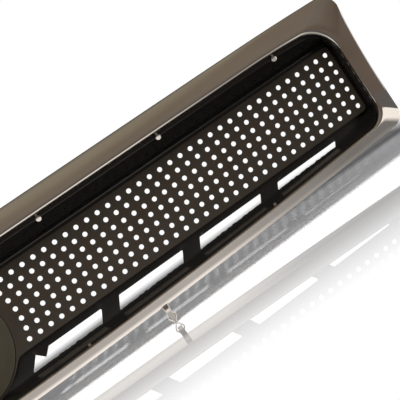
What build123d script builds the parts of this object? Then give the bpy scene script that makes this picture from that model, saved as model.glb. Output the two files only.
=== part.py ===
"""Front grille of a road vehicle, in millimetres.

The grille is a bright surround frame with a rolled inner lip, a black moulded tray set behind
that lip, a perforated panel laid on the tray's floor and a blank round badge seat at the centre.
Everything follows one plan bow: the ends sweep back on a large radius about an upright axis.

Frame: +X to the right seen from the front, -Y out of the front, +Z up. The origin is the centre
of the badge seat's flat front face. Heights named in this file are counted from the panel's
middle row of holes, which sits MID_Z above the badge's centre, and depths are counted from the
panel's front face at the same x, positive towards the back.
"""
from build123d import *
from math import cos, pi, radians, sin, sqrt
import os

os.makedirs("parts", exist_ok=True)

# ---------------------------------------------------------------- driving dimensions
R_PLAN = 5000.0          # plan radius of the bow
FACE_Y = -1.8            # the panel's front face on the centre line
MID_Z = 2.6              # the middle row of holes above the badge's centre
FIT = 0.1                # general clearance between laid pieces

# outlines: half width at the top, half width at the foot, top, fall of the top at its ends,
# top corner radius, foot on the centre line, rise of the foot per x squared, foot corner radius
LIP = (487.5, 487.5, 63.3, 2.1, 34.0, -68.5, 5.7e-5, 20.0)
OUTER = (516.2, 510.4, 86.7, 0.5, 18.0, -81.8, 4.8e-5, 15.0)
FLOOR = (489.5, 489.5, 42.5, 0.0, 9.0, -64.0, 5.0e-5, 9.0)
FALL_FROM = 400.0        # the top starts to fall here
FALL_OVER = 53.5         # and has fallen by the stated amount after this much

# surround: the crowned face is a list of (share of the way from the lip to the rim, depth)
WALL = 2.5
LIP_END = -19.0          # back edge of the lip's return
LIP_FRONT = -28.2        # front of the rolled lip
ROLL_DEPTH = 3.0
ROLL_SHARE = 0.145       # the roll's share of the face's height
CROWN = ((0.24, -27.6), (0.36, -26.2), (0.62, -22.6), (0.88, -18.6), (0.97, -16.6), (1.0, -14.0))
FACE_BACK = ((0.0, 2.5, -24.6), (0.4, 0.6, -22.9), (1.0, -2.5, -14.6))  # share, growth, depth
RIM_BACK = 22.0          # back edge of the outer rim

# tray
TRAY_T = 2.5
FLOOR_D = 3.1            # front side of the tray's floor
SEAM = 0.3               # gap between the lip's return and the tray's flange
LIP_GAP = 0.8            # the tray's opening inside the lip's outline
FLANGE_W = 8.0           # flange outwards from the lip's outline
LUG_X, LUG_Z = 74.0, -48.5
LUG_HALF = 7.3           # half diagonal of the square lug
LUG_LONG = 15.0
LUG_BORE_R, LUG_BORE_FROM = 1.7, 6.0

# panel and its holes
PANEL_T = 3.0
PANEL_HALF = 487.5
PANEL_UP = 40.0
PANEL_CORNER = 5.0
BOSS_R = 65.0            # the round widening about the badge
SEAT_HOLE_R = 62.8
ROWS = 7
COLUMNS = 34             # on each side of the badge
ROW_PITCH = 10.5
HOLE_D = 5.0             # at the front
HOLE_BACK_D = 6.4        # at the back: the moulded holes flare with draft
FIRST_ARC_R = 77.5       # the column nearest the badge lies on this radius
LAST_X = 480.2           # the column at the end, on the badge's level
WINDOW_ARC_R = 71.0
WINDOW_HALF = 484.6
WINDOW_UP = 36.0
WINDOW_CORNER = 4.0

# slots under the panel: x of the top left corner, top, foot at the left and at the right
SLOTS = ((66.8, -48.2, -62.2, -61.3), (165.2, -47.4, -60.9, -59.0),
         (263.6, -47.0, -58.4, -55.6), (362.0, -47.9, -55.3, -53.6))
SLOT_W = 77.0
SLOT_LEAN = 0.58
SLOT_LEAN_FIRST = 0.86
SLOT_CORNER = 1.2

# fastenings
STUD_X = (92.0, 186.0, 280.0, 374.0, 468.0)
STUD_Z = 38.0
STUD_R = 1.5
STUD_END = 9.5
STUD_HOLE_R = 1.7
SEAT_STUD_CIRCLE = 45.0
SEAT_STUD_R = 2.0
SEAT_STUD_HOLE_R = 2.2
SCREW_TOP_X = (60.0, 180.0, 300.0, 420.0)
SCREW_FOOT_X = (100.0, 220.0, 335.0, 440.0)
SCREW_SIDE_Z = (22.0, -14.0)
SCREW_OUT = 5.6          # screws outside the lip's outline
SCREW_BOSS_R = 2.8
SCREW_BOSS_TOP, SCREW_BOSS_FOOT = -24.4, -22.0   # where the bosses join the face
PILOT_R, PILOT_END = 1.3, -20.6
SCREW_HOLE_R = 1.6
SHANK_R, SHANK_LONG = 1.25, 4.1
HEAD_R, HEAD_TOP_R, HEAD_H = 3.2, 2.4, 2.2
DRIVE_LONG, DRIVE_WIDE, DRIVE_FROM = 3.4, 0.7, 1.2
NUT_T, NUT_H, NUT_HOLLOW = 0.5, 1.5, 0.9
NUT_CROWN = 0.62         # the dome's top radius as a share of its rim
NUT_R, SEAT_NUT_R = 3.7, 5.5
NUT_SLOT, NUT_BITE = 0.6, 1.1
NUB_TOP_X = (147.0, 284.0, 425.0)
NUB_FOOT_X = (118.0, 342.0)
NUB_FRONT, NUB_BACK = -22.6, -20.0
NUB_TOP_HALF, NUB_TOP_DROP, NUB_TOP_ROOT, NUB_HEAD_R = 1.1, 4.9, 1.2, 2.9
NUB_FOOT_HALF, NUB_FOOT_ROOT, NUB_FOOT_RISE = 1.6, 1.2, 2.4
EAR_X = (110.0, 330.0)
EAR_HALF, EAR_ROUND = 17.0, 8.0
EAR_FROM, EAR_TO, EAR_BORE = -8.0, 26.0, 14.0    # counted from the rim's back edge
EAR_LOW, EAR_HIGH = -1.9, 1.1
RIB_X, RIB_HALF, RIB_LOW = 15.0, 1.1, -7.0
RIB_FROM, RIB_TO, RIB_TOP = -10.0, 8.0, -1.2
SLEEVE_R, SLEEVE_BORE_R, COLLAR_R, COLLAR_T = 4.5, 3.3, 7.0, 1.0
CLIP_X = 196.0
CLIP_TIP = -101.4
CLIP_DEPTH = -6.0        # middle of the clip
TAB_HALF, TAB_DEEP, TAB_FROM_TIP, TAB_ROOT = 2.4, 3.0, 5.0, 1.4
STRIP_T, STRIP_HALF = 0.6, 3.6
STRIP_WINDOW = (8.5, 13.0)
STRIP_WINDOW_HALF = 1.5


# ---------------------------------------------------------------- shared geometry
def bow(x):
    return R_PLAN - sqrt(R_PLAN * R_PLAN - x * x)


def at(x, z, depth):
    """A point from x, height over the middle row and depth behind the panel's face."""
    return (x, FACE_Y + bow(x) + depth, MID_Z + z)


def slant(x, r):
    """How far the bowed faces run out of square over a radius r at x, with 5% to spare."""
    return abs(x) / R_PLAN * r * 1.05


def mix(a, b, w):
    return tuple(p + (q - p) * w for p, q in zip(a, b))


def grow(shape, g):
    top_half, foot_half, top, fall, r_top, foot, rise, r_foot = shape
    return (top_half + g, foot_half + g, top + g, fall, r_top + g, foot - g, rise, r_foot + g)


def top_at(shape, x):
    return shape[2] - shape[3] * (max(abs(x) - FALL_FROM, 0) / FALL_OVER) ** 2


def foot_at(shape, x):
    return shape[5] + shape[6] * x * x


def soft_max(a, b, ease=4.0):
    """The larger of two heights, with the corner where they cross eased round."""
    return (a + b + sqrt((a - b) ** 2 + ease * ease)) / 2 - ease / 20


def even(start, end, steps):
    return [start + (end - start) * i / steps for i in range(steps + 1)]


def runs(shape, boss=0.0):
    """The closed outline as eight runs of points: top, corner, side, corner, foot, and back."""
    top_half, foot_half, _, _, r_top, _, _, r_foot = shape

    def lift(x):
        if abs(x) >= boss:
            return top_at(shape, x)
        return soft_max(top_at(shape, x), sqrt(boss * boss - x * x) - MID_Z)

    def drop(x):
        if abs(x) >= boss:
            return foot_at(shape, x)
        return -soft_max(-foot_at(shape, x), sqrt(boss * boss - x * x) + MID_Z, 2.0)

    a = top_half - r_top
    b = foot_half - r_foot
    high = top_at(shape, a) - r_top
    low = foot_at(shape, b) + r_foot
    xs = even(-a, a, 48)
    if boss:
        far = even(boss * 1.1, a, 8)[1:]
        xs = [-x for x in reversed(far)] + even(-1.1 * boss, 1.1 * boss, 22) + far
    top_run = [(x, lift(x)) for x in xs]
    foot_run = [(x * b / a, drop(x * b / a)) for x in reversed(xs)]
    arc_top = [(a + r_top * sin(t), high + r_top * cos(t)) for t in even(0, pi / 2, 8)]
    arc_foot = [(b + r_foot * cos(t), low - r_foot * sin(t)) for t in even(0, pi / 2, 8)]
    # the side flares out towards its top corner
    side = [(foot_half + (top_half - foot_half) * t ** 3, low + (high - low) * t)
            for t in even(1, 0, 6)]

    def flip(run):
        return [(-x, z) for x, z in reversed(run)]

    return [top_run, arc_top, side, arc_foot, foot_run, flip(arc_foot), flip(side), flip(arc_top)]


def ring_edges(shape, depth, boss=0.0):
    parts = [[Vector(*at(x, z, depth)) for x, z in run] for run in runs(shape, boss)]
    edges = []
    for i, pts in enumerate(parts):
        before, after = parts[i - 1], parts[(i + 1) % len(parts)]
        start = (pts[1] - pts[0]).normalized() + (before[-1] - before[-2]).normalized()
        end = (pts[-1] - pts[-2]).normalized() + (after[1] - after[0]).normalized()
        edges.append(Edge.make_spline(pts, tangents=[start, end]))
    return edges


def ring_solid(section):
    """A closed frame from its section: (outline, depth) or (outline, depth, boss radius)."""
    rings = [ring_edges(*s) for s in section]
    faces = []
    for ring, other in zip(rings, rings[1:] + rings[:1]):
        faces += [Face.make_surface_from_curves(e, f) for e, f in zip(ring, other)]
    solid = Solid(Shell(faces))
    if solid.volume < 0:
        solid = Solid(Shell([-f for f in faces]))
    return solid


def bowed_plate(depth, thick, half_high=80.0, turn=14.0):
    """A bowed sheet of a thickness behind a depth, larger than any outline cut from it."""
    y0 = FACE_Y + depth
    face = Face(Wire.make_polygon([
        (0, y0, MID_Z - half_high), (0, y0 + thick, MID_Z - half_high),
        (0, y0 + thick, MID_Z + half_high), (0, y0, MID_Z + half_high)]))
    axis = Axis((0, FACE_Y + R_PLAN, 0), (0, 0, 1))
    return revolve(face, axis, turn).rotate(axis, -turn / 2)


def prism(points, y0=-60.0, y1=90.0):
    """A block along Y from its outline in X and Z, right through the part unless told."""
    wire = Wire.make_polygon([(x, y0, z) for x, z in points])
    return Solid.extrude(Face(wire), Vector(0, y1 - y0, 0))


def along_y(x, z, r, y0=-60.0, y1=90.0):
    return Solid.make_cylinder(r, y1 - y0, Plane((x, y0, z), z_dir=(0, 1, 0)))


def along_z(x, y, r, z0, z1):
    return Solid.make_cylinder(r, z1 - z0, Plane((x, y, z0), z_dir=(0, 0, 1)))


def box(x0, x1, y0, y1, z0, z1):
    return Solid.make_box(x1 - x0, y1 - y0, z1 - z0, Plane((x0, y0, z0)))


def loop(shape, boss=0.0):
    """The outline's points in the part's frame, each once."""
    return [(x, z + MID_Z) for run in runs(shape, boss) for x, z in run[:-1]]


def one(shape):
    found = shape.solids()
    assert len(found) == 1, len(found)
    return found[0]


def save(name, *solids):
    shape = solids[0] if len(solids) == 1 else Compound(children=list(solids))
    shape.label = name
    export_step(shape, os.path.join("parts", name + ".step"), write_pcurves=False)


def both(xs):
    return [s * x for x in xs for s in (-1, 1)]


# ---------------------------------------------------------------- places of the fastenings
screws_top = [(x, top_at(LIP, x) + SCREW_OUT) for x in both(SCREW_TOP_X)]
screws_foot = [(x, foot_at(LIP, x) - SCREW_OUT) for x in both(SCREW_FOOT_X)]
screws_ends = [(x, z) for z in SCREW_SIDE_Z for x in both([LIP[0] + SCREW_OUT + FIT])]
screw_places = screws_top + screws_foot + screws_ends
stud_places = [(x, z) for z in (STUD_Z, -STUD_Z) for x in both(STUD_X)]
seat_studs = [(SEAT_STUD_CIRCLE * cos(radians(a)), SEAT_STUD_CIRCLE * sin(radians(a)))
              for a in (90, 210, 330)]


# ---------------------------------------------------------------- surround shell
def screw_boss(x, z):
    """A boss on the face's back, up to the tray's flange."""
    y = FACE_Y + bow(x)
    tip = SCREW_BOSS_FOOT if (x, z) in screws_foot else SCREW_BOSS_TOP
    return along_y(x, z + MID_Z, SCREW_BOSS_R, y + tip,
                   y + LIP_END + 2 * FIT - slant(x, SCREW_BOSS_R))


def pilot(x, z):
    y = FACE_Y + bow(x)
    return along_y(x, z + MID_Z, PILOT_R, y + PILOT_END, y + LIP_END + 4 * FIT)


def nub(x, half, low, high):
    """A small locating nub inside the lip."""
    y = FACE_Y + bow(x)
    return box(x - half, x + half, y + NUB_FRONT, y + NUB_BACK, low + MID_Z, high + MID_Z)


def nub_head(x, z):
    """The round head at the end of a top nub's neck."""
    y = FACE_Y + bow(x)
    return along_y(x, z + MID_Z, NUB_HEAD_R, y + NUB_FRONT, y + NUB_BACK)


def ear_place(x):
    """The rim's back edge and the ear's level at x."""
    return FACE_Y + bow(x) + RIM_BACK, OUTER[2] - WALL + MID_Z


def ear(x):
    """A mounting ear behind the top of the rim, on two ribs."""
    y, z = ear_place(x)
    plate = box(x - EAR_HALF, x + EAR_HALF, y + EAR_FROM, y + EAR_TO, z + EAR_LOW, z + EAR_HIGH)
    plate = fillet(plate.edges().filter_by(Axis.Z).sort_by(Axis.Y)[-2:], EAR_ROUND)
    ribs = [box(rib - RIB_HALF, rib + RIB_HALF, y + RIB_FROM, y + RIB_TO, z + RIB_LOW, z + RIB_TOP)
            for rib in (x - RIB_X, x + RIB_X)]
    return [one(plate)] + ribs


def clip_tab(x):
    """The tab that a spring clip is pushed over."""
    y = FACE_Y + bow(x) + CLIP_DEPTH
    return box(x - TAB_HALF, x + TAB_HALF, y - TAB_DEEP, y + TAB_DEEP,
               CLIP_TIP + MID_Z + TAB_FROM_TIP, foot_at(OUTER, x) + MID_Z + TAB_ROOT)


def surround_shell():
    """Bright moulded frame: crowned face, rolled inner lip, outer rim, bosses, nubs, ears."""
    section = [(OUTER, RIM_BACK)]
    section += [(mix(LIP, OUTER, w), depth) for w, depth in reversed(CROWN)]
    for turn in (0, pi / 6, pi / 3, pi / 2):
        w = ROLL_SHARE * (1 - sin(turn))
        section.append((mix(LIP, OUTER, w), LIP_FRONT + ROLL_DEPTH * (1 - cos(turn))))
    section += [(LIP, LIP_END), (grow(LIP, WALL), LIP_END)]
    section += [(grow(mix(LIP, OUTER, w), g), depth) for w, g, depth in FACE_BACK]
    section += [(grow(OUTER, -WALL), RIM_BACK)]
    adds = [screw_boss(x, z) for x, z in screw_places]
    for x in both(NUB_TOP_X):
        z = top_at(LIP, x)
        adds.append(nub(x, NUB_TOP_HALF, z - NUB_TOP_DROP, z + NUB_TOP_ROOT))
        adds.append(nub_head(x, z - NUB_TOP_DROP))
    for x in both(NUB_FOOT_X):
        z = foot_at(LIP, x)
        adds.append(nub(x, NUB_FOOT_HALF, z - NUB_FOOT_ROOT, z + NUB_FOOT_RISE))
    for x in both(EAR_X):
        adds += ear(x)
    adds += [clip_tab(x) for x in both([CLIP_X])]
    cuts = [pilot(x, z) for x, z in screw_places]
    for x in both(EAR_X):
        y, z = ear_place(x)
        cuts.append(along_z(x, y + EAR_BORE, SLEEVE_R + FIT / 2, z + RIB_LOW, z - RIB_LOW))
    return one(ring_solid(section).fuse(*adds).cut(*cuts))


# ---------------------------------------------------------------- insert tray
def slot(n, side):
    """One leaning slot of the row under the panel."""
    x0, top, foot0, foot1 = SLOTS[n]
    x1 = x0 + SLOT_W
    lean0 = SLOT_LEAN_FIRST if n == 0 else SLOT_LEAN
    pts = [(x0, top), (x1, top), (x1 - SLOT_LEAN * (top - foot1), foot1),
           (x0 - lean0 * (top - foot0), foot0)]
    cut = prism([(side * x, z + MID_Z) for x, z in pts])
    return cut.fillet(SLOT_CORNER, cut.edges().filter_by(Axis.Y))


def window(side):
    """The large opening behind the perforated panel on one side of the badge."""
    cut = prism([(0, MID_Z - WINDOW_UP), (WINDOW_HALF, MID_Z - WINDOW_UP),
                 (WINDOW_HALF, MID_Z + WINDOW_UP), (0, MID_Z + WINDOW_UP)])
    cut = cut.fillet(WINDOW_CORNER, cut.edges().filter_by(Axis.Y).sort_by(Axis.X)[-2:])
    cut = one(cut.cut(along_y(0, 0, WINDOW_ARC_R, -80, 110)))
    return cut if side > 0 else cut.mirror(Plane.YZ)


def lug(x):
    """A square lug on the back of the tray's floor, set on its corner."""
    z, h, y = LUG_Z + MID_Z, LUG_HALF, FACE_Y + FLOOR_D
    return prism([(x - h, z), (x, z + h), (x + h, z), (x, z - h)], y + TRAY_T / 2, y + LUG_LONG)


def insert_tray():
    """Black moulded tray: bowed floor with two windows and eight slots, flared walls, flange."""
    flange = LIP_END + SEAM
    opening = grow(LIP, -LIP_GAP)
    foot = FLOOR_D + TRAY_T + 1.0
    middle = (flange + FLOOR_D) / 2
    section = [
        (FLOOR, foot, BOSS_R), (FLOOR, FLOOR_D - 0.5, BOSS_R),
        (mix(opening, FLOOR, 0.5), middle - 0.6, BOSS_R),
        (opening, flange), (grow(LIP, FLANGE_W), flange),
        (grow(LIP, FLANGE_W), flange + TRAY_T), (grow(LIP, 2.0), flange + TRAY_T),
        (grow(mix(LIP, FLOOR, 0.5), 2.3), middle + 1.6, BOSS_R),
        (grow(FLOOR, 2.6), foot, BOSS_R)]
    plate = bowed_plate(FLOOR_D, TRAY_T)
    plate = one(plate & prism(loop(grow(FLOOR, 1.2), BOSS_R)))
    cuts = [window(side) for side in (-1, 1)]
    cuts += [slot(n, side) for n in range(len(SLOTS)) for side in (-1, 1)]
    cuts += [along_y(x, z + MID_Z, STUD_HOLE_R) for x, z in stud_places]
    cuts += [along_y(x, z, SEAT_STUD_HOLE_R) for x, z in seat_studs]
    plate = one(plate.cut(*cuts))
    holes = []
    for x, z in screw_places:
        y = FACE_Y + bow(x) + flange
        holes.append(along_y(x, z + MID_Z, SCREW_HOLE_R, y - 1, y + TRAY_T + 1))
    holes += [along_y(x, LUG_Z + MID_Z, LUG_BORE_R, FACE_Y + FLOOR_D + LUG_BORE_FROM)
              for x in both([LUG_X])]
    lugs = [lug(x) for x in both([LUG_X])]
    return one(ring_solid(section).fuse(plate, *lugs).cut(*holes))


# ---------------------------------------------------------------- perforated panel
def hole_places():
    places = []
    for r in range(ROWS):
        z = (r - (ROWS - 1) / 2) * ROW_PITCH
        near = sqrt(FIRST_ARC_R ** 2 - (z + MID_Z) ** 2)
        for c in range(COLUMNS):
            x = near + (LAST_X - near) * c / (COLUMNS - 1)
            places += [(x, z), (-x, z)]
    return places


def panel_outline():
    """The panel's outline in the part's frame: straight edges, eased out round the badge."""
    boss = BOSS_R - 4 * FIT

    def edge(x, level):
        if abs(x) >= boss:
            return level
        return soft_max(level, sqrt(boss * boss - x * x))

    xs = even(-1.1 * boss, 1.1 * boss, 52)
    over = [(x, edge(x, PANEL_UP + MID_Z)) for x in xs]
    under = [(x, -edge(x, PANEL_UP - MID_Z)) for x in reversed(xs)]
    end_x, end_z, r = PANEL_HALF - PANEL_CORNER, PANEL_UP - PANEL_CORNER, PANEL_CORNER
    turn = even(0, pi / 2, 6)
    upper = [(end_x + r * sin(t), MID_Z + end_z + r * cos(t)) for t in turn]
    lower = [(end_x + r * cos(t), MID_Z - end_z - r * sin(t)) for t in turn]
    left = [(-x, z) for x, z in reversed(upper + lower)]
    return over + upper + lower + under + left


def mesh_panel():
    """Perforated bowed panel, round at the middle, with moulded studs on its back."""
    plate = one(bowed_plate(0.0, PANEL_T) & prism(panel_outline()))
    cuts = [along_y(0, 0, SEAT_HOLE_R)]
    flare = (HOLE_BACK_D - HOLE_D) / 2 / PANEL_T
    for x, z in hole_places():
        front = Plane((x, FACE_Y + bow(x) - 1.0, z + MID_Z), z_dir=(0, 1, 0))
        cuts.append(Solid.make_cone(HOLE_D / 2 - flare, HOLE_BACK_D / 2 + flare,
                                    PANEL_T + 2.0, front))
    studs = []
    for x, z in stud_places:
        y = FACE_Y + bow(x)
        studs.append(along_y(x, z + MID_Z, STUD_R, y + PANEL_T / 2, y + STUD_END))
    return one(one(plate.cut(*cuts)).fuse(*studs))


# ---------------------------------------------------------------- badge seat
def badge_seat():
    """Blank dished disc at the centre, flat inside, with three studs for push nuts."""
    rim = SEAT_HOLE_R - 5 * FIT
    flat, slope = 54.0, 59.0
    back = 1.2
    profile = Face(Wire.make_polygon([
        (0, 0, 0), (flat, 0, 0), (slope, FACE_Y + 0.2, 0), (rim - 0.8, FACE_Y, 0),
        (rim, FACE_Y + 0.8, 0), (rim, back, 0), (0, back, 0)]))
    studs = [along_y(x, z, SEAT_STUD_R, back / 2, back + 8.0) for x, z in seat_studs]
    return one(one(revolve(profile, Axis.Y, 360)).fuse(*studs))


# ---------------------------------------------------------------- small parts
def tray_screw(x, z):
    """A cross-head screw through the tray's flange."""
    z += MID_Z
    y = FACE_Y + bow(x) + LIP_END + SEAM + TRAY_T + FIT / 2 + slant(x, HEAD_R)
    head = Solid.make_cone(HEAD_R, HEAD_TOP_R, HEAD_H, Plane((x, y, z), z_dir=(0, 1, 0)))
    shank = along_y(x, z, SHANK_R, y - SHANK_LONG, y + HEAD_H / 4)
    a, b = DRIVE_LONG / 2, DRIVE_WIDE / 2
    drive = box(x - a, x + a, y + DRIVE_FROM, y + 2 * HEAD_H, z - b, z + b)
    cross = box(x - b, x + b, y + DRIVE_FROM, y + 2 * HEAD_H, z - a, z + a)
    return one(head.fuse(shank).cut(drive, cross))


def push_nut(x, z, y, r_in, r_out):
    """Domed spring-steel ring pushed over a moulded stud."""
    y += slant(x, r_out)
    plane = Plane((x, y, z), z_dir=(0, 1, 0))
    crown = r_out * NUT_CROWN
    dome = Solid.make_cone(r_out, crown, NUT_H, plane)
    hollow = Solid.make_cone(r_out - NUT_T, crown - NUT_T, NUT_HOLLOW, plane)
    bore = along_y(x, z, r_in, y - 1, y + 2 * NUT_H)
    a, b = NUT_SLOT / 2, r_in + NUT_BITE
    slots = [box(x - a, x + a, y + NUT_T, y + 2 * NUT_H, z - b, z + b),
             box(x - b, x + b, y + NUT_T, y + 2 * NUT_H, z - a, z + a)]
    return one(dome.cut(hollow, bore, *slots))


def ear_sleeve(x):
    """Steel compression limiter in a mounting ear."""
    y, z = ear_place(x)
    y += EAR_BORE
    top = z + EAR_HIGH + FIT
    barrel = along_z(x, y, SLEEVE_R - FIT / 2, z + EAR_LOW, top)
    collar = along_z(x, y, COLLAR_R, top, top + COLLAR_T)
    return one(barrel.fuse(collar).cut(along_z(x, y, SLEEVE_BORE_R, z - 5, z + 5)))


def spring_clip(x):
    """Arrow-shaped spring clip of bent strip, pushed up over a locator tab."""
    y = FACE_Y + bow(x) + CLIP_DEPTH
    z = CLIP_TIP + MID_Z
    top = foot_at(OUTER, x) + MID_Z - 4 * FIT
    t = STRIP_T
    outer = [(3.2, top), (3.4, z + 15.0), (4.9, z + 10.5), (4.4, z + 7.0), (1.6, z + 0.8),
             (0.6, z)]
    inner = [(3.2 - t, top), (3.4 - t, z + 14.8), (4.9 - t, z + 10.5), (4.2 - t, z + 7.2),
             (1.0, z + 1.4)]
    ring = outer + [(-a, b) for a, b in reversed(outer)]
    ring += [(-a, b) for a, b in inner] + list(reversed(inner))
    strip = prism([(x + a, b) for a, b in ring], y - STRIP_HALF, y + STRIP_HALF)
    low, high = STRIP_WINDOW
    return one(strip.cut(box(x - 3 * STRIP_HALF, x + 3 * STRIP_HALF, y - STRIP_WINDOW_HALF,
                             y + STRIP_WINDOW_HALF, z + low, z + high)))


save("surround_shell", surround_shell())
save("insert_tray", insert_tray())
save("mesh_panel", mesh_panel())
save("badge_seat", badge_seat())
for word, places in (("top", screws_top), ("foot", screws_foot), ("ends", screws_ends)):
    save("tray_screws_" + word, *[tray_screw(x, z) for x, z in places])
nut_y = FACE_Y + FLOOR_D + TRAY_T + FIT
for word, sign in (("top", 1), ("foot", -1)):
    nuts = [push_nut(x, z + MID_Z, bow(x) + nut_y, STUD_R, NUT_R)
            for x, z in stud_places if z * sign > 0]
    save("panel_push_nuts_" + word, *nuts)
save("badge_push_nuts", *[push_nut(x, z, nut_y + bow(x) + FIT, SEAT_STUD_R, SEAT_NUT_R)
                          for x, z in seat_studs])
for word, sign in (("left", -1), ("right", 1)):
    save("ear_sleeves_" + word, *[ear_sleeve(sign * x) for x in EAR_X])
    save("spring_clip_" + word, spring_clip(sign * CLIP_X))
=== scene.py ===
from math import asin, cos, pi, radians, sin

import bmesh
import bpy
import numpy as np
from mathutils import Matrix, Vector


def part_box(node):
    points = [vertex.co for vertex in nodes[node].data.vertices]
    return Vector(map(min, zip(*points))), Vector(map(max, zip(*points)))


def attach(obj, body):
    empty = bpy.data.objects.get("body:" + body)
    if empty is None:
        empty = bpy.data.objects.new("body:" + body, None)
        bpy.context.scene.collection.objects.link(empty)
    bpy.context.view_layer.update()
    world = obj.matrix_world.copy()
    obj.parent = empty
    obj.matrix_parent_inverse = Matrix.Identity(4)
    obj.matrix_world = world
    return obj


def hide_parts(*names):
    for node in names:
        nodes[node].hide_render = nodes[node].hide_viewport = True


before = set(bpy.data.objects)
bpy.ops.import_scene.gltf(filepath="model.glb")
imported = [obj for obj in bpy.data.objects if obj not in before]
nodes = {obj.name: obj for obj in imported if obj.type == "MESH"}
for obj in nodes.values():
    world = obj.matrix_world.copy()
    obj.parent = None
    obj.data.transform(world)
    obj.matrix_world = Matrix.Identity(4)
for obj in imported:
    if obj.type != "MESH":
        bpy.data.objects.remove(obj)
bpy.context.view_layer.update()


# ---------------------------------------------------------------- surround shell
# The bright frame is one ABS moulding, plated with copper, nickel and a flash of chrome. Its
# crowned face rolls into the opening at a lip; screw bosses, two lower tabs and four ears behind
# the top band are moulded on. Sizes are in millimetres and MM turns them into metres.
MM = 0.001
shell_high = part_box("surround_shell")[1] / MM
panel_low, panel_high = (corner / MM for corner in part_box("mesh_panel"))
clip_low, clip_high = (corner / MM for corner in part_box("spring_clip_right"))

R_PLAN = 5000.0              # plan radius of the bow that every piece follows
FACE_Y = panel_low.y         # front face of the perforated panel on the centre line
MID_Z = 2.6                  # middle row of holes above the badge's centre
END_LEAN = 5.8               # how far each end leans in at its foot
# outlines, with heights over the middle row: half width at the top and at the foot, top, fall
# of the top at its ends, top corner radius, foot, rise of the foot per x squared, foot corner
LIP = (panel_high.x, panel_high.x, 63.3, 2.1, 34.0, -68.5, 5.7e-5, 20.0)
OUTER = (shell_high.x, shell_high.x - END_LEAN, shell_high.z - MID_Z, 0.5, 18.0,
         -81.8, 4.8e-5, 15.0)
FALL_FROM = 400.0            # the top starts to fall at this x
FALL_OVER = 53.5             # and has fallen by the stated amount this much further out
WALL = 2.5
EDGE = 0.3                   # small round on moulded edges
RIM_EDGE = 0.4               # and on the edges of the rim and the lip's return
# depths are measured back from the panel's front face
LIP_FRONT = -28.2
LIP_END = -19.0              # back edge of the lip's return
RIM_BACK = 22.0              # back edge of the rim
ROLL_DEPTH = 3.0
ROLL_SHARE = 0.145           # the rolled lip's share of the face's height
RIM_DEPTHS = (RIM_BACK - RIM_EDGE, 6.0, -6.0, -12.0)
# the crowned face from lip to rim: share of the way, depth
CROWN = ((ROLL_SHARE, LIP_FRONT), (0.24, -27.6), (0.36, -26.2), (0.62, -22.6), (0.88, -18.6),
         (0.97, -16.6), (1.0, -14.0))
# the inside from the lip's return to the rim: share of the way, growth, depth
INSIDE = ((0.0, 0.0, -22.0), (0.0, 0.0, LIP_END - RIM_EDGE), (0.0, EDGE, LIP_END),
          (0.0, WALL - EDGE, LIP_END), (0.0, WALL, LIP_END - EDGE), (0.0, WALL, -24.6),
          (0.4, 0.6, -22.9), (0.7, -0.9, -18.9), (1.0, -WALL, -14.6), (1.0, -WALL, -4.0),
          (1.0, -WALL, RIM_BACK - RIM_EDGE), (1.0, RIM_EDGE - WALL, RIM_BACK),
          (1.0, -RIM_EDGE, RIM_BACK))
NUB_TOP_X = (147.0, 284.0, 425.0)
NUB_FOOT_X = (118.0, 342.0)
NUB_R = 2.85
NUB_T = 1.4
NUB_BACK = -20.05
NUB_DROP = 4.9               # the head's centre hangs this far below the lip's outline
# two corners of each small block, from its place on an outline
NUB_STEM = ((-1.1, -21.4, -NUB_DROP), (1.1, -20.2, 1.2))
NUB_FOOT = ((-1.6, -22.6, -1.2), (1.6, -20.0, 2.4))
EAR_X = (110.0, 330.0)
EAR_BORE_Y = 14.0            # the bore's centre behind the rim
EAR_BORE_R = 4.55
EAR_HALF = 17.0
EAR_DEPTHS = (-8.0, 5.0, 26.0)   # root, start of the side, end
EAR_CORNER = 8.0
EAR_ROOT_X = 8.0             # points along the root, on each side of its middle
EAR_FACE = 0.985             # scale of its flat faces, inside their round edges
EAR_LEVELS = (-1.9, 1.1)     # underside and top of its plate
EAR_RIB_X = 15.0
EAR_RIB = ((-1.1, -10.0, -7.0), (1.1, 8.0, -1.2))
BLOCK_EDGE = 0.35
SCREW_TOP_X = (60.0, 180.0, 300.0, 420.0)
SCREW_FOOT_X = (100.0, 220.0, 335.0, 440.0)
SCREW_SIDE_Z = (22.0, -14.0)
SCREW_OUT = 5.6              # screws outside the lip's outline
SCREW_SIDE_OUT = 5.7
SCREW_BOSS_R = 2.8
SCREW_BORE_R = 1.3
SCREW_BOSS_END = LIP_END + 0.1
SCREW_BOSS_EDGE = 0.2
SCREW_FRONT = -24.4          # front of each screw's boss
SCREW_FRONT_FOOT = -22.0     # the shell is shallower along its foot
CLIP_X = (clip_low.x + clip_high.x) / 2
CLIP_TIP = clip_low.z
# the tab over each clip: half width, front and back, height over the clip's tip, bite in the rim
TAB_HALF, TAB_FRONT, TAB_BACK = 2.4, -9.0, -3.0
TAB_UP, TAB_BITE = 5.0, 1.4


def bow(x):
    """How far the plan bow has swept back at x."""
    return R_PLAN - np.sqrt(R_PLAN * R_PLAN - np.square(x))


def mix(a, b, share):
    """The outline that lies a share of the way from one to another."""
    return tuple(p + (q - p) * share for p, q in zip(a, b))


def grow(shape, g):
    """The outline moved outwards all round."""
    top_half, foot_half, top, fall, r_top, foot, rise, r_foot = shape
    return (top_half + g, foot_half + g, top + g, fall, r_top + g, foot - g, rise, r_foot + g)


def top_at(shape, x):
    """Height of an outline's top edge, which falls a little at its ends."""
    return shape[2] - shape[3] * (np.maximum(np.abs(x) - FALL_FROM, 0.0) / FALL_OVER) ** 2


def foot_at(shape, x):
    """Height of an outline's lower edge, which rises to its ends."""
    return shape[5] + shape[6] * x * x


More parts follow.
